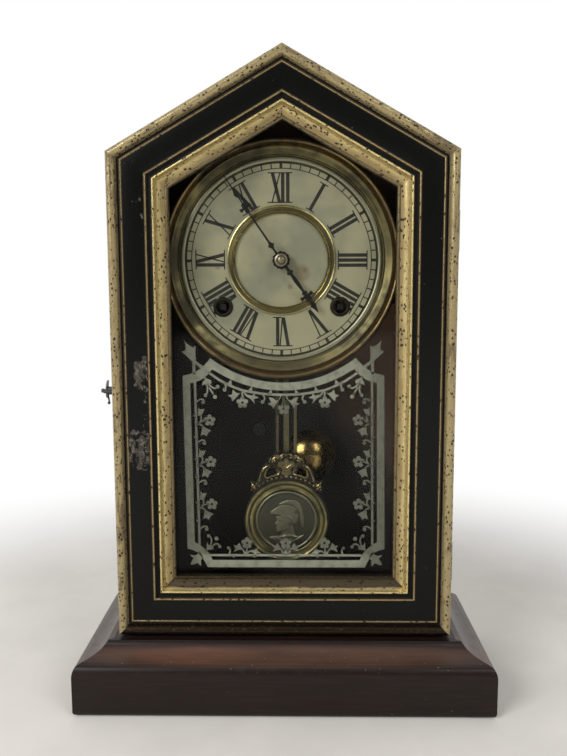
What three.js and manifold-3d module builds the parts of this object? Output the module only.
// Gable shelf clock: a five-sided glazed door on a narrow case, on an ogee-moulded base, with an
// eight-day spring movement behind the dial and a pendulum, a bell and a hammer below it.
//
// Millimetres. +Z is up, +X is to the right as one faces the clock, -Y is towards the viewer.
// The origin is the centre of the footprint, on the surface that the clock stands on.
// Every arbor of the movement runs along Y, and a place on a plate is a Vector2 of X and Z.

import * as THREE from 'three';
import { mergeVertices } from 'three/addons/utils/BufferGeometryUtils.js';
import Module from 'manifold-3d';

const wasm = await Module();
wasm.setup();

// ---------------------------------------------------------------- driving dimensions

const GAP = 0.3; // left between two pieces that rest on each other or fit together
const WELD = 1e-4; // vertices closer than this are one

// Base
const BASE_WIDTH = 295;
const BASE_DEPTH = 131;
const BASE_HEIGHT = 46.7;
const OGEE_PROJECTION = 21.1; // of the vertical face beyond the top edge
const OGEE_TOP_LAND = 4; // flat top of the moulding, behind that edge
const ARRIS_PROJECTION = 16;
const ARRIS_Z = 36.9;
const NOSE_Z = 28; // where the nose meets the vertical face
const FOOT_ROUND = 4;
const TOP_BOARD_THICKNESS = 8;
const BACK_RAIL_THICKNESS = 12.3;

// Door: the outline of its front, and the stock that it is made of
const DOOR_HALF_WIDTH = 119.1;
const DOOR_BOTTOM_Z = 49;
const EAVE_Z = 388.6;
const APEX_Z = 457.2;
const DOOR_FACE_Y = -40; // the flat black band
const DOOR_STOCK = 20; // from the back of the door to that band
const SIGHT_INSET = 40.9; // width of the moulding, outer edge to glass
const RABBET_INSET = 34.9;
const RABBET_HEIGHT = 7;
const GLASS_THICKNESS = 2;

// Case
const CASE_INSET = 1; // of the case behind the edge of the door
const CASE_BOARD = 8;
const CASE_FRONT_Y = -19.5;
const BACKBOARD_FRONT_Y = 60;
const BACKBOARD_THICKNESS = 5.2;

// Dial
const DIAL_X = -1.5;
const DIAL_Z = 316.4;
const DIAL_Y = -8; // front face of the dial plate
const DIAL_THICKNESS = 0.6;
const DIAL_RADIUS = 68.4;
const DIAL_CENTRE_HOLE = 5;
const WINDING_HOLE_X = 42.3; // from the centre of the dial
const WINDING_HOLE_Z = -33.2;
const WINDING_HOLE_RADIUS = 6.2;
const PAN_RADIUS = 85.2;

// Hands, as clock angles in degrees from twelve
const MINUTE_ANGLE = 325.7;
const HOUR_ANGLE = 144.4;
const HAND_THICKNESS = 0.6;
const HOUR_HAND_Y = -14;
const MINUTE_HAND_Y = -17.3;

// Movement: plates and the teeth of both trains
const FRONT_PLATE_Y = 9;
const BACK_PLATE_Y = 40;
const PLATE_THICKNESS = 1.6;
const PLATE_HALF_WIDTH = 53;
const PLATE_TOP = 45; // above the centre arbor
const PLATE_BOTTOM = -62;
const GREAT_TEETH = 60;
const SECOND_TEETH = 60;
const THIRD_TEETH = 60;
const ESCAPE_TEETH = 45; // 9000 beats an hour, for a pendulum of 159 mm
const TRAIN_LEAVES = 6;
const CENTRE_TEETH = 24;
const CANNON_LEAVES = 10;
const MINUTE_WHEEL_TEETH = 30;
const MINUTE_WHEEL_LEAVES = 8;
const HOUR_WHEEL_TEETH = 32;
const STRIKE_GREAT_TEETH = 54;
const PIN_WHEEL_TEETH = 48;
const STRIKE_THIRD_TEETH = 48;
const RATCHET_TEETH = 12;
const ESCAPE_RADIUS = 10.5;
const VERGE_DISTANCE = 13.6; // verge arbor below the escape wheel's

// Pendulum, bell and hammer
const PENDULUM_X = 1.5;
const BOB_Z = 122;
const BOB_RADIUS = 31.8;
const MEDALLION_RADIUS = 23.2;
const BELL_X = 19.9;
const BELL_Z = 162.5;
const BELL_RADIUS = 20.6;
const BELL_DEPTH = 16;
const BELL_RIM_Y = 43;
const HAMMER_HEAD = new THREE.Vector2(-20.3, 185.1);
const HAMMER_HEAD_RADIUS = 6.1;
const HAMMER_PLANE_Y = 37;

// Hinges on the right and the turning hook on the left
const HINGE_Z = { upper: 335, lower: 102 };
const HINGE_HEIGHT = 28;
const HINGE_AXIS = new THREE.Vector2(121.1, -19.75); // X and Y
const HOOK_Y = -15.5;
const HOOK_Z = 223.2;
const CATCH_REACH = 6.8; // from the hook's pivot to the catch pin

// ---------------------------------------------------------------- finishes

const FINISHES = {
  mahogany: { color: 0x4a2318, roughness: 0.45, metalness: 0 },
  innerWood: { color: 0x5a3524, roughness: 0.8, metalness: 0 },
  ebonised: { color: 0x14110f, roughness: 0.3, metalness: 0 },
  glass: { color: 0xdfe8e6, roughness: 0.05, metalness: 0, transparent: true, opacity: 0.3 },
  brass: { color: 0xb08d4a, roughness: 0.35, metalness: 1 },
  polishedBrass: { color: 0xd1a04a, roughness: 0.15, metalness: 1 },
  dial: { color: 0xc9c4ab, roughness: 0.6, metalness: 0 },
  bluedSteel: { color: 0x101014, roughness: 0.4, metalness: 0.6 },
  steel: { color: 0x6f7274, roughness: 0.4, metalness: 1 },
  iron: { color: 0x1d1b1a, roughness: 0.6, metalness: 0.7 },
  pewter: { color: 0x6f6a62, roughness: 0.5, metalness: 0.8 },
  lead: { color: 0x4c4d4f, roughness: 0.6, metalness: 0.7 },
};

const clock = new THREE.Group();

// Adds one named piece to the clock, with a material of its own.
function addPiece(name, geometry, finish) {
  const mesh = new THREE.Mesh(closedSurface(geometry), new THREE.MeshStandardMaterial(FINISHES[finish]));
  mesh.name = name;
  clock.add(mesh);
}

// ---------------------------------------------------------------- solids

// Welds a geometry, drops the triangles that the weld closes up, and turns its faces outwards.
function closedSurface(geometry) {
  const bare = new THREE.BufferGeometry();
  bare.setAttribute('position', geometry.getAttribute('position').clone());
  if (geometry.index) bare.setIndex(geometry.index.clone());
  const welded = mergeVertices(bare, WELD);
  const kept = [];
  const source = welded.index.array;
  for (let i = 0; i < source.length; i += 3) {
    const [a, b, c] = [source[i], source[i + 1], source[i + 2]];
    if (a !== b && b !== c && c !== a) kept.push(a, b, c);
  }
  if (signedVolume(welded.getAttribute('position'), kept) < 0) kept.reverse();
  welded.setIndex(kept);
  welded.computeVertexNormals();
  return welded;
}

function signedVolume(position, index) {
  const [a, b, c] = [new THREE.Vector3(), new THREE.Vector3(), new THREE.Vector3()];
  let volume = 0;
  for (let i = 0; i < index.length; i += 3) {
    a.fromBufferAttribute(position, index[i]);
    b.fromBufferAttribute(position, index[i + 1]);
    c.fromBufferAttribute(position, index[i + 2]);
    volume += a.dot(b.cross(c)) / 6;
  }
  return volume;
}

function toManifold(geometry) {
  const closed = closedSurface(geometry);
  return new wasm.Manifold(new wasm.Mesh({
    numProp: 3,
    vertProperties: new Float32Array(closed.getAttribute('position').array),
    triVerts: new Uint32Array(closed.index.array),
  }));
}

function fromManifold(manifold) {
  const mesh = manifold.getMesh();
  const geometry = new THREE.BufferGeometry();
  geometry.setAttribute('position', new THREE.BufferAttribute(new Float32Array(mesh.vertProperties), 3));
  geometry.setIndex(Array.from(mesh.triVerts));
  return geometry;
}

function joined(...geometries) {
  return fromManifold(geometries.map(toManifold).reduce((sum, next) => sum.add(next)));
}

function cut(geometry, ...tools) {
  return fromManifold(tools.map(toManifold).reduce((rest, tool) => rest.subtract(tool), toManifold(geometry)));
}

function common(first, second) {
  return fromManifold(toManifold(first).intersect(toManifold(second)));
}

// ---------------------------------------------------------------- forms

// A box given by its lowest and highest corner.
function box(low, high) {
  const size = high.map((value, axis) => value - low[axis]);
  const centre = high.map((value, axis) => (value + low[axis]) / 2);
  return new THREE.BoxGeometry(...size).translate(...centre);
}

// A round bar along Y at a place on the plates.
function arbor(place, radius, frontY, backY, sides = 8) {
  const bar = new THREE.CylinderGeometry(radius, radius, backY - frontY, sides);
  return bar.translate(place.x, (frontY + backY) / 2, place.y);
}

// A round bar between any two points.
function wire(from, to, radius, sides = 8) {
  const along = to.clone().sub(from);
  const bar = new THREE.CylinderGeometry(radius, radius, along.length(), sides);
  bar.applyQuaternion(new THREE.Quaternion().setFromUnitVectors(new THREE.Vector3(0, 1, 0), along.normalize()));
  return bar.translate(...from.clone().add(to).multiplyScalar(0.5).toArray());
}

// A profile of [radius, y] points, revolved about an axis along Y.
function turned(profile, place, segments) {
  const points = profile.map(([radius, y]) => new THREE.Vector2(radius, y));
  return new THREE.LatheGeometry(points, segments).translate(place.x, 0, place.y);
}

// A flat outline in X and Z, as thick as the way from frontY to backY.
function plate(shape, frontY, backY, curveSegments = 8) {
  const depth = backY - frontY;
  const geometry = new THREE.ExtrudeGeometry(shape, { depth, bevelEnabled: false, curveSegments });
  return geometry.rotateX(Math.PI / 2).translate(0, backY, 0);
}

// A flat outline in Y and Z, standing between two values of X.
function sidePlate(shape, lowX, highX, curveSegments = 8) {
  const depth = highX - lowX;
  const geometry = new THREE.ExtrudeGeometry(shape, { depth, bevelEnabled: false, curveSegments });
  const upright = new THREE.Matrix4().makeBasis(
    new THREE.Vector3(0, 1, 0),
    new THREE.Vector3(0, 0, 1),
    new THREE.Vector3(1, 0, 0),
  );
  return geometry.applyMatrix4(upright).translate(lowX, 0, 0);
}

function asVectors(points) {
  return points.map((point) => (Array.isArray(point) ? new THREE.Vector2(...point) : point));
}

function counterclockwise(outline) {
  return THREE.ShapeUtils.isClockWise(outline) ? outline.reverse() : outline;
}

// A closed outline, always counterclockwise, so that holes in it are cut the right way round.
function polygon(points) {
  return new THREE.Shape(counterclockwise(asVectors(points)));
}

function roundHole(place, radius) {
  return new THREE.Path().absarc(place.x, place.y, radius, 0, 2 * Math.PI, true);
}

function polar(centre, radius, angle) {
  return new THREE.Vector2(centre.x + radius * Math.cos(angle), centre.y + radius * Math.sin(angle));
}

const degrees = THREE.MathUtils.degToRad;

// Points along a circular arc, both ends included, without its first point if it follows another.
function arcPoints(centre, radius, from, to, steps, skipFirst = false) {
  const points = [];
  for (let step = skipFirst ? 1 : 0; step <= steps; step += 1) {
    const point = polar(centre, radius, degrees(from + ((to - from) * step) / steps));
    points.push([point.x, point.y]);
  }
  return points;
}

// ---------------------------------------------------------------- mitred mouldings

// The unit vector to the left of the way from one corner to the next: inwards on a run that goes
// counterclockwise.
function inward(from, to) {
  const along = to.clone().sub(from).normalize();
  return new THREE.Vector2(-along.y, along.x);
}

// How far a corner moves for each millimetre of inset. At an open end there is one normal only.
function mitreVector(before, after) {
  if (!before || !after) return (before ?? after).clone();
  return before.clone().add(after).divideScalar(1 + before.dot(after));
}

// The mitre vectors of a run of corners, open or closed.
function mitreVectors(corners, closed) {
  const sides = corners.map((corner, i) => {
    const next = corners[i + 1] ?? (closed ? corners[0] : null);
    return next && inward(corner, next);
  });
  return corners.map((_, i) => mitreVector(sides[i - 1] ?? (closed ? sides.at(-1) : null), sides[i]));
}

function insetOutline(corners, distance) {
  const mitres = mitreVectors(corners, true);
  return corners.map((corner, i) => corner.clone().addScaledVector(mitres[i], distance));
}

// One bar of a mitred frame. The profile is [inset, height] points; place() turns a point of the
// frame's plane and a height into a point in space. The two ends stand half a gap back.
function mitredBar(profile, from, to, mitres, place) {
  const section = counterclockwise(asVectors(profile));
  const along = to.clone().sub(from).normalize();
  const ends = [[from, mitres[0], 1], [to, mitres[1], -1]].map(([corner, mitre, sense]) => {
    const back = (sense * GAP) / 2 / Math.abs(along.cross(mitre.clone().normalize()));
    return section.map(({ x: inset, y: height }) => {
      const point = corner.clone().addScaledVector(mitre, inset).addScaledVector(along, back);
      return place(point, height);
    });
  });
  const count = section.length;
  const index = [];
  for (let i = 0; i < count; i += 1) {
    const next = (i + 1) % count;
    index.push(i, next, count + next, i, count + next, count + i);
  }
  for (const triangle of THREE.ShapeUtils.triangulateShape(section, [])) {
    const clockwise = THREE.ShapeUtils.isClockWise(triangle.map((corner) => section[corner]));
    const [a, b, c] = clockwise ? triangle.reverse() : triangle;
    index.push(c, b, a, count + a, count + b, count + c);
  }
  const geometry = new THREE.BufferGeometry();
  geometry.setAttribute('position', new THREE.Float32BufferAttribute(ends.flat(2), 3));
  geometry.setIndex(index);
  return geometry;
}

// ---------------------------------------------------------------- base

// The section of the base moulding as [projection, height]: nose, arris, cove and top fillet.
function ogeeSection() {
  const cove = new THREE.QuadraticBezierCurve(
    new THREE.Vector2(ARRIS_PROJECTION, ARRIS_Z + 0.2),
    new THREE.Vector2(4, 39.6),
    new THREE.Vector2(0.8, BASE_HEIGHT - 1.2),
  );
  const nose = [];
  const noseSteps = 6;
  for (let step = 0; step <= noseSteps; step += 1) {
    const angle = degrees((90 * step) / noseSteps);
    const reach = OGEE_PROJECTION - ARRIS_PROJECTION - 0.7;
    nose.push([
      ARRIS_PROJECTION + 0.7 + reach * Math.cos(angle),
      NOSE_Z + (ARRIS_Z - 0.3 - NOSE_Z) * Math.sin(angle),
    ]);
  }
  const foot = arcPoints({ x: OGEE_PROJECTION - FOOT_ROUND, y: FOOT_ROUND }, FOOT_ROUND, -90, 0, 3);
  const hollow = cove.getPoints(7).map(({ x, y }) => [x, y]);
  return [[-OGEE_TOP_LAND, 0], ...foot, ...nose, ...hollow, [0, BASE_HEIGHT - 1.1], [0, BASE_HEIGHT],
    [-OGEE_TOP_LAND, BASE_HEIGHT]];
}

function addBase() {
  const halfWidth = BASE_WIDTH / 2 - OGEE_PROJECTION;
  const frontY = -BASE_DEPTH / 2 + OGEE_PROJECTION;
  const backY = BASE_DEPTH / 2;
  const corners = [[-halfWidth, backY], [-halfWidth, frontY], [halfWidth, frontY], [halfWidth, backY]]
    .map((corner) => new THREE.Vector2(...corner));
  const mitres = mitreVectors(corners, false);
  const section = ogeeSection().map(([projection, height]) => [-projection, height]);
  const place = (point, height) => [point.x, point.y, height];
  ['base_left_moulding', 'base_front_moulding', 'base_right_moulding'].forEach((name, i) => {
    const bar = mitredBar(section, corners[i], corners[i + 1], [mitres[i], mitres[i + 1]], place);
    addPiece(name, bar, 'mahogany');
  });

  const innerX = halfWidth - OGEE_TOP_LAND - GAP;
  const railY = backY - BACK_RAIL_THICKNESS;
  const boardFront = frontY + OGEE_TOP_LAND + GAP;
  const boardZ = BASE_HEIGHT - TOP_BOARD_THICKNESS;
  addPiece('base_back_rail', box([-innerX, railY, 0], [innerX, backY, BASE_HEIGHT]), 'innerWood');
  addPiece(
    'base_top_board',
    box([-innerX, boardFront, boardZ], [innerX, railY - GAP, BASE_HEIGHT]),
    'mahogany',
  );
}

// ---------------------------------------------------------------- case

function gable(halfWidth, bottomZ, eaveZ, apexZ) {
  return [[-halfWidth, bottomZ], [halfWidth, bottomZ], [halfWidth, eaveZ], [0, apexZ], [-halfWidth, eaveZ]]
    .map((corner) => new THREE.Vector2(...corner));
}

const DOOR_OUTLINE = gable(DOOR_HALF_WIDTH, DOOR_BOTTOM_Z, EAVE_Z, APEX_Z);

function addCase() {
  const outline = insetOutline(DOOR_OUTLINE, CASE_INSET);
  const floorZ = BASE_HEIGHT + GAP;
  outline[0].y = floorZ;
  outline[1].y = floorZ;
  const backY = BACKBOARD_FRONT_Y - GAP;
  const section = [[0, 0], [CASE_BOARD, 0], [CASE_BOARD, backY - CASE_FRONT_Y], [0, backY - CASE_FRONT_Y]];
  const place = (point, height) => [point.x, CASE_FRONT_Y + height, point.y];
  const run = [outline[1], outline[2], outline[3], outline[4], outline[0]];
  const mitres = mitreVectors(run, false);
  ['case_right_side', 'roof_right_board', 'roof_left_board', 'case_left_side'].forEach((name, i) => {
    const bar = mitredBar(section, run[i], run[i + 1], [mitres[i], mitres[i + 1]], place);
    addPiece(name, bar, 'mahogany');
  });
  const backFace = BACKBOARD_FRONT_Y + BACKBOARD_THICKNESS;
  addPiece('backboard', plate(polygon(outline), BACKBOARD_FRONT_Y, backFace), 'innerWood');
}

// Two blocks, glued to the sides, that the dial pan is screwed to.
function addDialBlocks() {
  const outerX = DOOR_HALF_WIDTH - CASE_INSET - CASE_BOARD - GAP;
  const innerX = 76;
  const [frontY, backY] = [-2.2, 20];
  const [lowZ, highZ] = [285, 345];
  addPiece('dial_block_right', box([innerX, frontY, lowZ], [outerX, backY, highZ]), 'innerWood');
  addPiece('dial_block_left', box([-outerX, frontY, lowZ], [-innerX, backY, highZ]), 'innerWood');
}

// ---------------------------------------------------------------- door

// The section of the door's moulding as [inset, height]. From the outer edge: half-round bead, hollow,
// thin bead, flat band, thin bead, hollow, cove, sight bead, and the rabbet behind for the glass.
function doorSection() {
  const outerBead = arcPoints({ x: 3.3, y: 19 }, 3.3, 180, 10, 5);
  const innerCove = arcPoints({ x: 38.6, y: 19.2 }, 6.6, 180, 262, 4);
  const sightBead = arcPoints({ x: 39.6, y: 11.6 }, 1.3, 140, -10, 3);
  return [
    [0, 0], ...outerBead, [7.6, 18], [9, 18.3], [9.4, 20.4], [10.6, 20.7], [11, DOOR_STOCK],
    [25.3, DOOR_STOCK], [25.7, 20.7], [26.8, 20.4], [27.2, 18.3], [28.4, 18], [30, 18], [30.6, 19.3],
    ...innerCove, ...sightBead,
    [SIGHT_INSET, RABBET_HEIGHT], [RABBET_INSET, RABBET_HEIGHT], [RABBET_INSET, 0],
  ];
}

const DOOR_BACK_Y = DOOR_FACE_Y + DOOR_STOCK;

function addDoor() {
  const section = doorSection();
  const mitres = mitreVectors(DOOR_OUTLINE, true);
  const place = (point, height) => [point.x, DOOR_BACK_Y - height, point.y];
  const names = ['door_bottom_rail', 'door_right_stile', 'door_right_rake', 'door_left_rake', 'door_left_stile'];
  names.forEach((name, i) => {
    const next = (i + 1) % names.length;
    const bar = mitredBar(section, DOOR_OUTLINE[i], DOOR_OUTLINE[next], [mitres[i], mitres[next]], place);
    addPiece(name, bar, 'ebonised');
  });

  const glassFrontY = DOOR_BACK_Y - RABBET_HEIGHT + GAP;
  const pane = polygon(insetOutline(DOOR_OUTLINE, RABBET_INSET + GAP));
  addPiece('door_glass', plate(pane, glassFrontY, glassFrontY + GLASS_THICKNESS), 'glass');
}

// A butt hinge on the right: the case leaf carries the pin and the end knuckles, the door leaf the
// middle one.
function addHinge(position) {
  const lowZ = HINGE_Z[position] - HINGE_HEIGHT / 2;
  const third = HINGE_HEIGHT / 3;
  const [leafReach, leafThickness] = [13, 0.9];
  const [knuckleRadius, pinRadius, boreRadius] = [1.8, 0.8, 1.2];
  const knuckle = (radius, from, to) => {
    const bar = new THREE.CylinderGeometry(radius, radius, to - from, 8).rotateX(Math.PI / 2);
    return bar.translate(HINGE_AXIS.x, HINGE_AXIS.y, lowZ + (from + to) / 2);
  };
  // The leaves lie on the side of the case and on the edge of the door, each with a lug to its knuckles.
  const caseX = DOOR_HALF_WIDTH - CASE_INSET + GAP;
  const doorX = DOOR_HALF_WIDTH + GAP;
  const leaf = (lowX, nearY, farY, from, to) => box(
    [lowX, Math.min(nearY, farY), lowZ + from],
    [lowX + leafThickness, Math.max(nearY, farY), lowZ + to],
  );
  const lug = (lowX, nearY, farY, from, to) => box(
    [lowX, nearY, lowZ + from],
    [HINGE_AXIS.x, farY, lowZ + to],
  );
  const backEdge = HINGE_AXIS.y + 1.1;
  const frontEdge = HINGE_AXIS.y - 2;
  const caseLeaf = joined(
    leaf(caseX, backEdge, backEdge + leafReach, 0, HINGE_HEIGHT),
    lug(caseX, backEdge - 0.2, backEdge + 0.7, 0, third),
    lug(caseX, backEdge - 0.2, backEdge + 0.7, 2 * third, HINGE_HEIGHT),
    knuckle(knuckleRadius, 0, third),
    knuckle(knuckleRadius, 2 * third, HINGE_HEIGHT),
    knuckle(pinRadius, 0.5, HINGE_HEIGHT - 0.5),
  );
  addPiece(`hinge_${position}_case_leaf`, caseLeaf, 'brass');

  const doorLeafBody = joined(
    leaf(doorX, frontEdge - leafReach, frontEdge, 0, HINGE_HEIGHT),
    lug(doorX, frontEdge - 0.5, frontEdge + 1, third + GAP, 2 * third - GAP),
    knuckle(knuckleRadius, third + GAP, 2 * third - GAP),
  );
  const doorLeaf = cut(doorLeafBody, knuckle(boreRadius, third - 1, 2 * third + 1));
  addPiece(`hinge_${position}_door_leaf`, doorLeaf, 'brass');
}

// The hook hangs on the left of the case and turns up and forwards over the catch pin in the door's
// edge. Its plate is bowed outwards, with a finger peg at the pivot.
function addHook() {
  const caseX = -(DOOR_HALF_WIDTH - CASE_INSET);
  const [upperArm, lowerArm, armHalfWidth] = [7.4, 9.8, 2.4];
  const slot = { near: CATCH_REACH - 1.45, far: CATCH_REACH + 1.45, deep: 1.4 };
  const outline = polygon([
    [armHalfWidth, -lowerArm + 2], [armHalfWidth, 3], [1.2, upperArm], [-1.2, upperArm],
    [-armHalfWidth, 3], [-armHalfWidth, 0.7 - slot.near], [-0.6, -slot.near],
    [slot.deep - 0.6, -slot.near], [slot.deep, -CATCH_REACH],
    [slot.deep - 0.6, -slot.far], [-armHalfWidth, -slot.far - 0.2], [-armHalfWidth + 0.4, -lowerArm],
    [armHalfWidth - 1.5, -lowerArm],
  ].map(([y, z]) => [HOOK_Y + y, HOOK_Z + z]));

  const [endX, bow, strip] = [-126.4, 1.4, 1.1];
  const bowedFace = (x) => {
    const points = [];
    const steps = 6;
    for (let step = 0; step <= steps; step += 1) {
      const z = -lowerArm - 1 + ((upperArm + lowerArm + 2) * step) / steps;
      points.push([x - bow * (1 - (z / lowerArm) ** 2), HOOK_Z + z]);
    }
    return points;
  };
  const strand = polygon([...bowedFace(endX), ...bowedFace(endX - strip).reverse()]);
  const blade = common(sidePlate(outline, -135, -115), plate(strand, HOOK_Y - 6, HOOK_Y + 6));

  const peg = (radius, fromX, toX) => {
    const from = new THREE.Vector3(fromX, HOOK_Y, HOOK_Z);
    return wire(from, new THREE.Vector3(toX, HOOK_Y, HOOK_Z), radius, 10);
  };
  const outerX = endX - bow - strip;
  const hook = joined(blade, peg(1.1, caseX - 1.2, -131), peg(1.5, -130.6, -132.3));
  addPiece('side_hook', hook, 'iron');

  const post = cut(peg(3, caseX - GAP, outerX + strip + GAP + 0.2), peg(1.4, caseX, outerX));
  addPiece('hook_pivot_post', post, 'iron');

  const catchFrom = new THREE.Vector3(-DOOR_HALF_WIDTH - GAP, HOOK_Y - CATCH_REACH, HOOK_Z);
  const catchTo = catchFrom.clone().setX(-129.2);
  addPiece('door_catch_pin', wire(catchFrom, catchTo, 1.1, 10), 'iron');
}

// ---------------------------------------------------------------- dial

const CENTRE = new THREE.Vector2(DIAL_X, DIAL_Z);
const TIME_WINDING = CENTRE.clone().add(new THREE.Vector2(WINDING_HOLE_X, WINDING_HOLE_Z));
const STRIKE_WINDING = CENTRE.clone().add(new THREE.Vector2(-WINDING_HOLE_X, WINDING_HOLE_Z));

function addDial() {
  const disc = new THREE.Shape().absarc(CENTRE.x, CENTRE.y, DIAL_RADIUS, 0, 2 * Math.PI, false);
  const edge = polygon(disc.getPoints(20));
  edge.holes.push(new THREE.Path(roundHole(CENTRE, DIAL_CENTRE_HOLE).getPoints(8)));
  edge.holes.push(new THREE.Path(roundHole(TIME_WINDING, WINDING_HOLE_RADIUS).getPoints(7)));
  edge.holes.push(new THREE.Path(roundHole(STRIKE_WINDING, WINDING_HOLE_RADIUS).getPoints(7)));
  addPiece('dial_plate', plate(edge, DIAL_Y, DIAL_Y + DIAL_THICKNESS), 'dial');

  // Spun surround: ledge behind the dial plate, small bead, dished band, groove, rolled edge and skirt.
  const pan = [
    [63.2, -7.1], [69.1, -7.1], [69.1, -9.1], [70.2, -9.9], [71.5, -8.9], [79.1, -12.4],
    [80.8, -11.3], [81.8, -12.8], [83.4, -14.7], [PAN_RADIUS, -12.6], [PAN_RADIUS, -2.5], [84.3, -2.5],
    [84.3, -10.9], [79.6, -10.7], [70.3, -7.4], [63.2, -6.5], [63.2, -7.1],
  ];
  addPiece('dial_pan', turned(pan, CENTRE, 32), 'brass');

  const ring = [
    [33.2, -8.3], [39.2, -8.3], [38.6, -9.8], [37, -9], [35, -9], [34, -10], [33.2, -8.3],
  ];
  addPiece('dial_centre_ring', turned(ring, CENTRE, 28), 'brass');

  const grommet = [
    [4.6, -9], [6.6, -9], [7.2, -8.3], [5.9, -8.3], [5.9, -6.8], [4.6, -6.8], [4.6, -9],
  ];
  addPiece('winding_grommet_left', turned(grommet, STRIKE_WINDING, 14), 'iron');
  addPiece('winding_grommet_right', turned(grommet, TIME_WINDING, 14), 'iron');
}

// ---------------------------------------------------------------- hands

// A pierced-look hand from the half outline [across, along] of its right edge, mirrored, with a round
// hub and a hole, turned to its clock angle.
function addHand(name, halfOutline, hubRadius, hole, angle, frontY) {
  const mirrored = halfOutline.map(([across, along]) => [-across, along]).reverse();
  const turn = (point) => new THREE.Vector2(...point).rotateAround(new THREE.Vector2(), -degrees(angle)).add(CENTRE);
  const blade = polygon([...halfOutline, ...mirrored].map(turn));
  const hub = new THREE.CylinderGeometry(hubRadius, hubRadius, HAND_THICKNESS, 16);
  const y = frontY + HAND_THICKNESS / 2;
  const solid = joined(plate(blade, frontY, frontY + HAND_THICKNESS), hub.translate(CENTRE.x, y, CENTRE.y));
  addPiece(name, cut(solid, arbor(CENTRE, hole, frontY - 1, frontY + HAND_THICKNESS + 1, 12)), 'bluedSteel');
}

// The lozenge near the hub, the flared cross and the spear of a hand, from the hub outwards.
function crossHandOutline({ lozengeAt, lozenge, shaft, crossFrom, cross, spearAt, spear, tip }) {
  const size = (tip - crossFrom) * 0.1;
  return [
    [1.5, 3.5], [0.9, lozengeAt - 4], [lozenge, lozengeAt], [shaft, lozengeAt + 4.5],
    [shaft * 0.8, crossFrom - 1], [cross * 0.34, crossFrom + size * 0.4],
    [cross * 0.66, crossFrom - size * 0.2], [cross * 0.62, crossFrom + size],
    [cross, crossFrom + size * 1.1], [cross * 0.9, crossFrom + size * 1.8],
    [cross, crossFrom + size * 2.6], [cross * 0.6, crossFrom + size * 2.6],
    [cross * 0.5, crossFrom + size * 3.6], [cross * 0.22, crossFrom + size * 3.4],
    [0.6, spearAt - spear * 1.5], [spear, spearAt], [0.45, spearAt + spear * 1.7], [0.25, tip],
  ];
}

function addHands() {
  addHand('hour_hand', crossHandOutline({
    lozengeAt: 10.5, lozenge: 2.2, shaft: 1.1, crossFrom: 27, cross: 5, spearAt: 40, spear: 1.7, tip: 46,
  }), 6.2, 3.3, HOUR_ANGLE, HOUR_HAND_Y);
  addHand('minute_hand', crossHandOutline({
    lozengeAt: 13, lozenge: 2, shaft: 0.75, crossFrom: 37, cross: 4.4, spearAt: 54, spear: 1.5, tip: 71,
  }), 5, 1.9, MINUTE_ANGLE, MINUTE_HAND_Y);
  const nut = [
    [0, -20.9], [1.9, -20.9], [1.9, -17.6], [4.6, -17.6], [4.6, -18.2], [3.3, -18.5], [3.1, -20.4],
    [2, -21.4], [0, -21.8],
  ];
  addPiece('hand_nut', turned(nut, CENTRE, 12), 'brass');
}

// ---------------------------------------------------------------- wheels

// All teeth share these proportions of the module.
const ADDENDUM = 0.72;
const DEDENDUM = 1.15;

function pitchRadius(teeth, module) {
  return (teeth * module) / 2;
}

// Pointed teeth round a circle; tooth 0 is at the phase angle.
function toothedShape(place, teeth, module, phase) {
  const pitch = (2 * Math.PI) / teeth;
  const radius = pitchRadius(teeth, module);
  const points = [];
  for (let tooth = 0; tooth < teeth; tooth += 1) {
    points.push(polar(place, radius - DEDENDUM * module, phase + (tooth - 0.5) * pitch));
    points.push(polar(place, radius + ADDENDUM * module, phase + tooth * pitch));
  }
  return polygon(points);
}

// The phase that puts a gap of the second wheel where the first has a tooth.
function meshPhase(first, firstTeeth, firstPhase, second, secondTeeth) {
  const towards = second.clone().sub(first).angle();
  const back = first.clone().sub(second).angle();
  const slip = (firstTeeth * (towards - firstPhase)) / secondTeeth;
  return back + slip - Math.PI / secondTeeth;
}

// Four windows that leave a rim, a boss and four tapered arms.
function crossOut(shape, place, boss, rim, armWidth) {
  for (let arm = 0; arm < 4; arm += 1) {
    const middle = (arm + 0.5) * (Math.PI / 2);
    const outer = Math.PI / 4 - armWidth / 2 / rim;
    shape.holes.push(new THREE.Path([
      polar(place, rim, middle - outer), polar(place, rim, middle + outer), polar(place, boss, middle),
    ]));
  }
  return shape;
}

// A crossed-out wheel blank between two values of Y.
function wheel(place, teeth, module, phase, [frontY, backY]) {
  const shape = toothedShape(place, teeth, module, phase);
  const rim = pitchRadius(teeth, module) - DEDENDUM * module - 2.2;
  return plate(crossOut(shape, place, rim * 0.45, rim, 2.4), frontY, backY);
}

function pinion(place, leaves, module, phase, [frontY, backY]) {
  return plate(toothedShape(place, leaves, module, phase), frontY, backY);
}

// The place of a wheel that meshes with one at another place, at a bearing from it.
function meshingPlace(from, teeth, leaves, module, bearing) {
  return polar(from, pitchRadius(teeth + leaves, module), degrees(bearing));
}

// ---------------------------------------------------------------- the movement's layout

const PIVOT_FRONT_Y = FRONT_PLATE_Y - 0.4;
const PIVOT_BACK_Y = BACK_PLATE_Y + PLATE_THICKNESS + 0.4;
const MODULE = {
  great: 0.965, second: 0.69, third: 0.48, minute: 0.72, strikeGreat: 1.06, pinWheel: 0.74, strikeThird: 0.565,
};
const PLANE = {
  ratchet: [11.2, 12.4],
  centre: [11.1, 12.3],
  great: [13, 14.5],
  front: [15.3, 16.4],
  spring: [17.2, 36],
  escape: [19, 20.2],
  rear: [37.4, 38.6],
};

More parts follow.
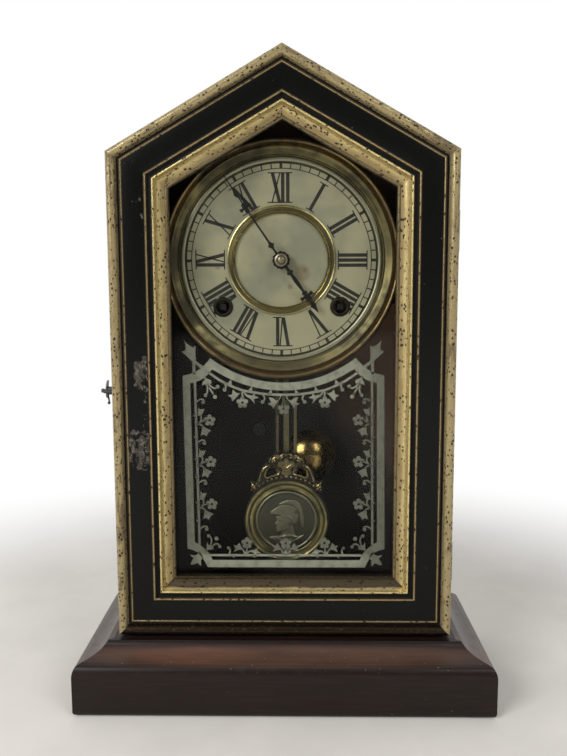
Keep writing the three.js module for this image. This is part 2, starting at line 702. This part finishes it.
const SECOND = meshingPlace(TIME_WINDING, GREAT_TEETH, TRAIN_LEAVES, MODULE.great, 105);
const THIRD = meshingPlace(SECOND, SECOND_TEETH, TRAIN_LEAVES, MODULE.second, 210);
const ESCAPE = placeBelow(THIRD, pitchRadius(THIRD_TEETH + TRAIN_LEAVES, MODULE.third), PENDULUM_X);
const VERGE = new THREE.Vector2(PENDULUM_X, ESCAPE.y - VERGE_DISTANCE);
const PIN_WHEEL = meshingPlace(STRIKE_WINDING, STRIKE_GREAT_TEETH, TRAIN_LEAVES, MODULE.strikeGreat, 75);
const STRIKE_THIRD = meshingPlace(PIN_WHEEL, PIN_WHEEL_TEETH, TRAIN_LEAVES, MODULE.pinWheel, 48);
const FLY = meshingPlace(STRIKE_THIRD, STRIKE_THIRD_TEETH, TRAIN_LEAVES, MODULE.strikeThird, 38);
const HAMMER_ARBOR = CENTRE.clone().add(new THREE.Vector2(-5.3, -49.2));
const MINUTE_STUD = meshingPlace(CENTRE, MINUTE_WHEEL_TEETH, CANNON_LEAVES, MODULE.minute, 135);
const PILLARS = [[-17, -58], [17, -58], [-46, 38], [46, 38]]
  .map((offset) => CENTRE.clone().add(new THREE.Vector2(...offset)));

// The place at a distance from another that has a given X, on the lower side.
function placeBelow(from, distance, x) {
  return new THREE.Vector2(x, from.y - Math.sqrt(distance ** 2 - (from.x - x) ** 2));
}

function spindle(place, radius = 0.9) {
  return arbor(place, radius, PIVOT_FRONT_Y, PIVOT_BACK_Y);
}

// ---------------------------------------------------------------- movement plates

// A plate with cut corners below, where the great wheels stand out, and a bow cut in its head.
function plateShape() {
  const corners = [
    [-24, PLATE_BOTTOM], [24, PLATE_BOTTOM], [PLATE_HALF_WIDTH, -46], [PLATE_HALF_WIDTH, PLATE_TOP - 6],
    [PLATE_HALF_WIDTH - 6, PLATE_TOP], [28, PLATE_TOP], [18, PLATE_TOP - 9], [-18, PLATE_TOP - 9],
    [-28, PLATE_TOP], [6 - PLATE_HALF_WIDTH, PLATE_TOP], [-PLATE_HALF_WIDTH, PLATE_TOP - 6],
    [-PLATE_HALF_WIDTH, -46],
  ];
  const shape = polygon(corners.map(([x, z]) => [x + CENTRE.x, z + CENTRE.y]));
  const hole = (place, radius) => shape.holes.push(new THREE.Path(roundHole(place, radius).getPoints(3)));
  [SECOND, THIRD, ESCAPE, VERGE, PIN_WHEEL, STRIKE_THIRD, FLY].forEach((place) => hole(place, 1.4));
  hole(HAMMER_ARBOR, 1.6);
  [TIME_WINDING, STRIKE_WINDING, CENTRE].forEach((place) => hole(place, 2.8));
  return shape;
}

function addPlates() {
  const front = plate(plateShape(), FRONT_PLATE_Y, FRONT_PLATE_Y + PLATE_THICKNESS, 4);
  const stud = arbor(MINUTE_STUD, 0.9, 1.4, FRONT_PLATE_Y + 0.5);
  addPiece('movement_front_plate', joined(front, stud), 'brass');

  const pillarFront = FRONT_PLATE_Y + PLATE_THICKNESS + GAP;
  const back = plate(plateShape(), BACK_PLATE_Y, BACK_PLATE_Y + PLATE_THICKNESS, 4);
  const pillars = PILLARS.map((place) => arbor(place, 2.2, pillarFront, BACK_PLATE_Y + 0.5));
  const feet = PILLARS.map((place) => arbor(place, 3, BACK_PLATE_Y + 1, BACKBOARD_FRONT_Y - GAP));
  addPiece('movement_back_plate', joined(back, ...pillars, ...feet), 'brass');

  // The post that the pendulum hangs from, riveted to the front plate above the verge.
  const post = new THREE.Vector2(VERGE.x, VERGE.y + 6.6);
  const shank = arbor(post, 2.2, -1, FRONT_PLATE_Y - GAP);
  const block = box([post.x - 2.6, -4.5, post.y - 3], [post.x + 2.6, 0.5, post.y + 3]);
  addPiece('suspension_post', joined(shank, block), 'brass');
}

// ---------------------------------------------------------------- winding, springs and great wheels

function addWinding(name, place) {
  const squareHalf = 2.1;
  const square = box(
    [place.x - squareHalf, -6.3, place.y - squareHalf],
    [place.x + squareHalf, 7.5, place.y + squareHalf],
  );
  const ratchetRadius = 8;
  const points = [];
  for (let tooth = 0; tooth < RATCHET_TEETH; tooth += 1) {
    const angle = (tooth * 2 * Math.PI) / RATCHET_TEETH;
    points.push(polar(place, ratchetRadius, angle), polar(place, ratchetRadius - 1.6, angle + 0.06));
  }
  const ratchet = plate(polygon(points), ...PLANE.ratchet);
  const hub = arbor(place, 5, PLANE.spring[0], PLANE.spring[1]);
  const shaft = arbor(place, 2.1, 7, PIVOT_BACK_Y);
  addPiece(name, joined(square, shaft, ratchet, hub), 'steel');
}

// A great wheel turns freely on its winding arbor and carries the click of the ratchet.
function addGreatWheel(name, place, teeth, module) {
  const blank = wheel(place, teeth, module, 0, PLANE.great);
  const click = box(
    [place.x + 8.5, PLANE.ratchet[0], place.y - 1.2],
    [place.x + 13, PLANE.great[0] + 0.5, place.y + 1.2],
  );
  const bore = arbor(place, 2.7, PLANE.ratchet[0] - 1, PLANE.great[1] + 1);
  addPiece(name, cut(joined(blank, click), bore), 'brass');
}

// An open coiled ribbon from the hub outwards, whose last quarter turn opens towards a pillar.
function addMainspring(name, place, pillar, sense) {
  const [turns, stepsPerTurn, thickness] = [2.6, 10, 0.8];
  const [innerRadius, outerRadius] = [5.9, 24];
  const outward = pillar.clone().sub(place);
  const endAngle = outward.angle();
  const steps = Math.round(turns * stepsPerTurn);
  const opening = 3;
  const ribbonSide = (offset) => {
    const points = [];
    for (let step = 0; step <= steps; step += 1) {
      const angle = endAngle - (sense * 2 * Math.PI * (steps - step)) / stepsPerTurn;
      const wound = Math.min(step / (steps - opening), 1);
      const opened = Math.max(0, (step - steps + opening) / opening);
      const reach = outward.length() - 3.6 - outerRadius;
      points.push(polar(place, innerRadius + offset + wound * (outerRadius - innerRadius) + opened * reach, angle));
    }
    return points;
  };
  const ribbon = polygon([...ribbonSide(0), ...ribbonSide(thickness).reverse()]);
  addPiece(name, plate(ribbon, ...PLANE.spring), 'bluedSteel');
}

// ---------------------------------------------------------------- trains

function addGoingTrain() {
  addWinding('time_winding_arbor', TIME_WINDING);
  addGreatWheel('time_great_wheel', TIME_WINDING, GREAT_TEETH, MODULE.great);
  addMainspring('time_mainspring', TIME_WINDING, PILLARS[1], -1);

  const transferModule = (2 * SECOND.distanceTo(CENTRE)) / (2 * CENTRE_TEETH);
  const transferPhase = meshPhase(SECOND, CENTRE_TEETH, 0, CENTRE, CENTRE_TEETH);
  const secondPinionPhase = meshPhase(TIME_WINDING, GREAT_TEETH, 0, SECOND, TRAIN_LEAVES);
  addPiece('time_second_wheel', joined(
    spindle(SECOND),
    pinion(SECOND, TRAIN_LEAVES, MODULE.great, secondPinionPhase, [12.6, 15]),
    wheel(SECOND, CENTRE_TEETH, transferModule, 0, PLANE.centre),
    wheel(SECOND, SECOND_TEETH, MODULE.second, 0, PLANE.rear),
  ), 'brass');

  const centreWheel = wheel(CENTRE, CENTRE_TEETH, transferModule, transferPhase, PLANE.centre);
  const hub = arbor(CENTRE, 4.5, PLANE.centre[0], 15, 12);
  const bore = arbor(CENTRE, 2.5, 10, 16, 12);
  addPiece('centre_wheel', cut(joined(centreWheel, hub), bore), 'brass');

  addPiece('time_third_wheel', joined(
    spindle(THIRD),
    pinion(THIRD, TRAIN_LEAVES, MODULE.second,
      meshPhase(SECOND, SECOND_TEETH, 0, THIRD, TRAIN_LEAVES), [36.8, 39.2]),
    wheel(THIRD, THIRD_TEETH, MODULE.third, 0, PLANE.front),
  ), 'brass');

  // Escape wheel: hooked teeth, raked the way that it turns.
  const hooked = [];
  for (let tooth = 0; tooth < ESCAPE_TEETH; tooth += 1) {
    const angle = (tooth * 2 * Math.PI) / ESCAPE_TEETH;
    hooked.push(polar(ESCAPE, ESCAPE_RADIUS - 1.9, angle - 0.02), polar(ESCAPE, ESCAPE_RADIUS, angle));
  }
  const escapeBlank = crossOut(polygon(hooked), ESCAPE, 3, ESCAPE_RADIUS - 3.4, 1.8);
  addPiece('escape_wheel', joined(
    spindle(ESCAPE, 0.8),
    pinion(ESCAPE, TRAIN_LEAVES, MODULE.third,
      meshPhase(THIRD, THIRD_TEETH, 0, ESCAPE, TRAIN_LEAVES), [14.8, 17]),
    plate(escapeBlank, ...PLANE.escape),
  ), 'brass');
  addVerge();
}

// The verge: a bent strip with two pallets on its arbor, and the crutch in front of the plate, whose
// fork holds the pendulum rod.
function addVerge() {
  const anchor = [
    [0, -2.2], [2.2, -1], [11.9, 3.6], [12.2, 6.9], [10.9, 6.6], [10.2, 4.6], [1.6, 1.9], [0, 2.2],
    [-1.6, 1.9], [-10.2, 4.6], [-10.9, 6.6], [-12.2, 6.9], [-11.9, 3.6], [-2.2, -1],
  ].map(([x, z]) => [VERGE.x + x, VERGE.y + z]);
  const forkZ = VERGE.y - 17;
  const prong = (x) => box([VERGE.x + x - 0.4, -2.4, forkZ - 0.6], [VERGE.x + x + 0.4, 6, forkZ + 0.6]);
  addPiece('verge', joined(
    arbor(VERGE, 0.9, 3.6, PIVOT_BACK_Y),
    plate(polygon(anchor), ...PLANE.escape),
    arbor(VERGE, 2, 4.4, 6.4),
    box([VERGE.x - 0.9, 4.6, forkZ - 0.6], [VERGE.x + 0.9, 5.8, VERGE.y]),
    box([VERGE.x - 2, 4.8, forkZ - 0.6], [VERGE.x + 2, 6, forkZ + 0.6]),
    prong(-1.6),
    prong(1.6),
  ), 'steel');
}

// Motion work: the minute hand's arbor with its cannon pinion, the minute wheel on its stud, and the
// hour wheel, whose pipe carries the hour hand.
function addMotionWork() {
  const [cannonPlane, hourPlane] = [[5.4, 8.4], [2.2, 3.6]];
  addPiece('centre_arbor', joined(
    arbor(CENTRE, 2.1, cannonPlane[0], PIVOT_BACK_Y, 12),
    arbor(CENTRE, 1.6, -20.7, cannonPlane[0] + 1, 12),
    pinion(CENTRE, CANNON_LEAVES, MODULE.minute, 0, cannonPlane),
  ), 'steel');

  const wheelPhase = meshPhase(CENTRE, CANNON_LEAVES, 0, MINUTE_STUD, MINUTE_WHEEL_TEETH);
  const hourModule = (2 * MINUTE_STUD.distanceTo(CENTRE)) / (MINUTE_WHEEL_LEAVES + HOUR_WHEEL_TEETH);
  const minuteWheel = joined(
    wheel(MINUTE_STUD, MINUTE_WHEEL_TEETH, MODULE.minute, wheelPhase, [5.6, 7]),
    pinion(MINUTE_STUD, MINUTE_WHEEL_LEAVES, hourModule, 0, [1.8, 6]),
  );
  addPiece('minute_wheel', cut(minuteWheel, arbor(MINUTE_STUD, 1.3, 0, 9)), 'brass');

  const hourPhase = meshPhase(MINUTE_STUD, MINUTE_WHEEL_LEAVES, 0, CENTRE, HOUR_WHEEL_TEETH);
  const hourWheel = joined(
    wheel(CENTRE, HOUR_WHEEL_TEETH, hourModule, hourPhase, hourPlane),
    arbor(CENTRE, 3, -14.3, hourPlane[1], 12),
    arbor(CENTRE, 4.2, hourPlane[0] - 1, hourPlane[1], 12),
  );
  addPiece('hour_wheel', cut(hourWheel, arbor(CENTRE, 2, -16, 5, 12)), 'brass');
}

function addStrikeTrain() {
  addWinding('strike_winding_arbor', STRIKE_WINDING);
  addGreatWheel('strike_great_wheel', STRIKE_WINDING, STRIKE_GREAT_TEETH, MODULE.strikeGreat);
  addMainspring('strike_mainspring', STRIKE_WINDING, PILLARS[0], 1);

  const liftingPins = [];
  for (let pin = 0; pin < 6; pin += 1) {
    const place = polar(PIN_WHEEL, 14.6, (pin * Math.PI) / 3);
    liftingPins.push(arbor(place, 0.7, 36.3, PLANE.rear[1], 6));
  }
  addPiece('strike_pin_wheel', joined(
    spindle(PIN_WHEEL),
    pinion(PIN_WHEEL, TRAIN_LEAVES, MODULE.strikeGreat,
      meshPhase(STRIKE_WINDING, STRIKE_GREAT_TEETH, 0, PIN_WHEEL, TRAIN_LEAVES), [12.6, 15]),
    wheel(PIN_WHEEL, PIN_WHEEL_TEETH, MODULE.pinWheel, 0, PLANE.rear),
    ...liftingPins,
  ), 'brass');

  addPiece('strike_third_wheel', joined(
    spindle(STRIKE_THIRD),
    pinion(STRIKE_THIRD, TRAIN_LEAVES, MODULE.pinWheel,
      meshPhase(PIN_WHEEL, PIN_WHEEL_TEETH, 0, STRIKE_THIRD, TRAIN_LEAVES), [36.8, 39.2]),
    wheel(STRIKE_THIRD, STRIKE_THIRD_TEETH, MODULE.strikeThird, 0, PLANE.front),
  ), 'brass');

  addPiece('strike_fly', joined(
    spindle(FLY),
    pinion(FLY, TRAIN_LEAVES, MODULE.strikeThird,
      meshPhase(STRIKE_THIRD, STRIKE_THIRD_TEETH, 0, FLY, TRAIN_LEAVES), [14.8, 17]),
    box([FLY.x - 8, 19, FLY.y - 0.5], [FLY.x + 8, 33, FLY.y + 0.5]),
  ), 'brass');
}

// ---------------------------------------------------------------- hammer and bell

function addHammer() {
  const inPlane = (place) => new THREE.Vector3(place.x, HAMMER_PLANE_Y, place.y);
  const towardsPins = PIN_WHEEL.clone().sub(HAMMER_ARBOR);
  const tailEnd = HAMMER_ARBOR.clone().addScaledVector(towardsPins.clone().normalize(), towardsPins.length() - 16.6);
  const across = new THREE.Vector2(-towardsPins.y, towardsPins.x).normalize().multiplyScalar(0.8);
  const tail = polygon([
    HAMMER_ARBOR.clone().add(across), HAMMER_ARBOR.clone().sub(across),
    tailEnd.clone().sub(across), tailEnd.clone().add(across),
  ]);
  const head = turned([
    [0, 33.5], [HAMMER_HEAD_RADIUS - 0.8, 33.5], [HAMMER_HEAD_RADIUS, 34.3], [HAMMER_HEAD_RADIUS, 39.7],
    [HAMMER_HEAD_RADIUS - 0.8, 40.5], [0, 40.5],
  ], HAMMER_HEAD, 14);
  addPiece('hammer', joined(
    spindle(HAMMER_ARBOR, 1.1),
    wire(inPlane(HAMMER_ARBOR), inPlane(HAMMER_HEAD), 0.8),
    plate(tail, 36.3, 37),
    head,
  ), 'lead');
}

function addBell() {
  const place = new THREE.Vector2(BELL_X, BELL_Z);
  const [wall, hole, steps] = [1.3, 2, 4];
  const dome = (radius, depth) => {
    const points = [];
    const start = Math.asin(hole / radius);
    for (let step = 0; step <= steps; step += 1) {
      const angle = start + ((Math.PI / 2 - start) * step) / steps;
      points.push([radius * Math.sin(angle), BELL_RIM_Y - depth * Math.cos(angle)]);
    }
    return points;
  };
  const outer = dome(BELL_RADIUS, BELL_DEPTH);
  const inner = dome(BELL_RADIUS - wall, BELL_DEPTH - wall).reverse();
  addPiece('bell', turned([...outer, ...inner, outer[0]], place, 24), 'polishedBrass');

  const apexY = BELL_RIM_Y - BELL_DEPTH;
  const stand = [
    [0, apexY - 3.2], [1.4, apexY - 3], [1.7, apexY - 2.3], [3.4, apexY - 2.3], [3.6, apexY - 0.4],
    [1.6, apexY - 0.3], [1.6, apexY + wall + 0.5], [2.6, apexY + wall + 0.6], [2.6, 56], [5, 57.5],
    [5, BACKBOARD_FRONT_Y - GAP], [0, BACKBOARD_FRONT_Y - GAP],
  ];
  addPiece('bell_stand', turned(stand, place, 8), 'steel');
}

// ---------------------------------------------------------------- pendulum

function addPendulum() {
  const [frameTop, frameBottom] = [250, 154.6];
  const bar = (x, halfWidth) => box(
    [PENDULUM_X + x - halfWidth, -1.2, frameBottom],
    [PENDULUM_X + x + halfWidth, 0.2, frameTop],
  );
  addPiece('pendulum_rod', joined(
    box([VERGE.x - 0.25, -3, VERGE.y - 9], [VERGE.x + 0.25, 1, VERGE.y + 3.3]),
    box([VERGE.x - 1.1, -2.6, VERGE.y - 10.5], [VERGE.x + 1.1, 1, VERGE.y - 7]),
    wire(new THREE.Vector3(VERGE.x, -0.7, VERGE.y - 9), new THREE.Vector3(VERGE.x, -0.7, frameTop - 1), 0.9),
    bar(0, 2.05),
    bar(-6.75, 1.1),
    bar(6.75, 1.1),
    box([PENDULUM_X - 8.2, -1.4, frameTop - 3], [PENDULUM_X + 8.2, 0.4, frameTop]),
    box([PENDULUM_X - 8.2, -1.2, frameBottom], [PENDULUM_X + 8.2, 0.4, frameBottom + 3]),
  ), 'brass');
  addCrown();

  const bob = new THREE.Vector2(PENDULUM_X, BOB_Z);
  const dish = [
    [0, 4], [29.8, 4], [BOB_RADIUS, 2.2], [BOB_RADIUS, -3.2], [30.2, -5.5], [28.4, -4.8], [27.4, -3.2],
    [25.2, -3.1], [24.3, -4], [23.6, -1.9], [0, -1.9],
  ];
  addPiece('pendulum_bob', turned(dish, bob, 32), 'brass');
  addMedallion(bob);
}

// Cast crown over the bob, from the right half of its outline, with a scroll-framed opening each side.
function addCrown() {
  const seat = BOB_RADIUS + 0.4;
  const seatZ = (x) => BOB_Z + Math.sqrt(seat ** 2 - x ** 2);
  const half = [
    [0, 174.6], [3.2, 174.2], [5, 172.6], [7, 173.8], [9.6, 173.2], [11, 171.2], [13, 170.4], [13.8, 167.6],
    [13, 165.6], [16.4, 164.6], [19, 161.6], [20.6, 157.6], [21.6, 153.4], [23.8, 151.8], [25.6, 153],
    [27.2, 152], [27.4, 149.8], [26, 148.6], [27, 147], [26.4, 145], [24.8, 144.4],
  ];
  const seatPoints = [24, 20, 16, 12, 8, 4, 0].map((x) => [x, seatZ(x)]);
  const right = [...half, ...seatPoints];
  const left = right.slice(1, -1).map(([x, z]) => [-x, z]).reverse();
  const shape = polygon([...right, ...left].map(([x, z]) => [x + PENDULUM_X, z]));
  for (const side of [-1, 1]) {
    const eye = [[6, 158.2], [5.4, 160.6], [7.8, 163.2], [11.4, 163.8], [14.6, 161.8], [16, 157.8], [14.6, 155.4],
      [10.6, 157]];
    shape.holes.push(new THREE.Path(eye.map(([x, z]) => new THREE.Vector2(side * x + PENDULUM_X, z))));
  }
  const palmette = polygon([
    [0, 157], [2.6, 158.6], [4.4, 162.8], [3.4, 166.4], [0, 170.2], [-3.4, 166.4], [-4.4, 162.8], [-2.6, 158.6],
  ].map(([x, z]) => [x + PENDULUM_X, z]));
  addPiece('pendulum_crown', joined(plate(shape, -4.2, -1.5), plate(palmette, -5.2, -4)), 'brass');
}

// Round medallion with a raised rim and, in low relief, a helmeted head that faces left.
function addMedallion(bob) {
  const disc = turned([
    [0, -2.2], [MEDALLION_RADIUS, -2.2], [MEDALLION_RADIUS, -4.3], [22, -4.7], [21, -4], [0, -4],
  ], bob, 28);
  const bust = polygon([
    [-5, -14], [-2.4, -11.6], [-1.2, -7.4], [-3.6, -6.6], [-5.2, -4.6], [-4.8, -3], [-6.2, -1.6], [-5.2, 0.6],
    [-9.6, 2.4], [-6, 6.6], [-1.6, 9.2], [2.4, 11.8], [7, 10.6], [9.6, 6.4], [9.8, 0.4], [8.6, -5], [7.6, -8.6],
    [10.8, -12.4],
  ].map(([x, z]) => [x + bob.x, z + bob.y]));
  addPiece('pendulum_medallion', joined(disc, plate(bust, -4.9, -3.8)), 'pewter');
}

// ---------------------------------------------------------------- assembly

addBase();
addCase();
addDialBlocks();
addDoor();
addHinge('upper');
addHinge('lower');
addHook();
addDial();
addHands();
addPlates();
addGoingTrain();
addMotionWork();
addStrikeTrain();
addHammer();
addBell();
addPendulum();

export default clock;
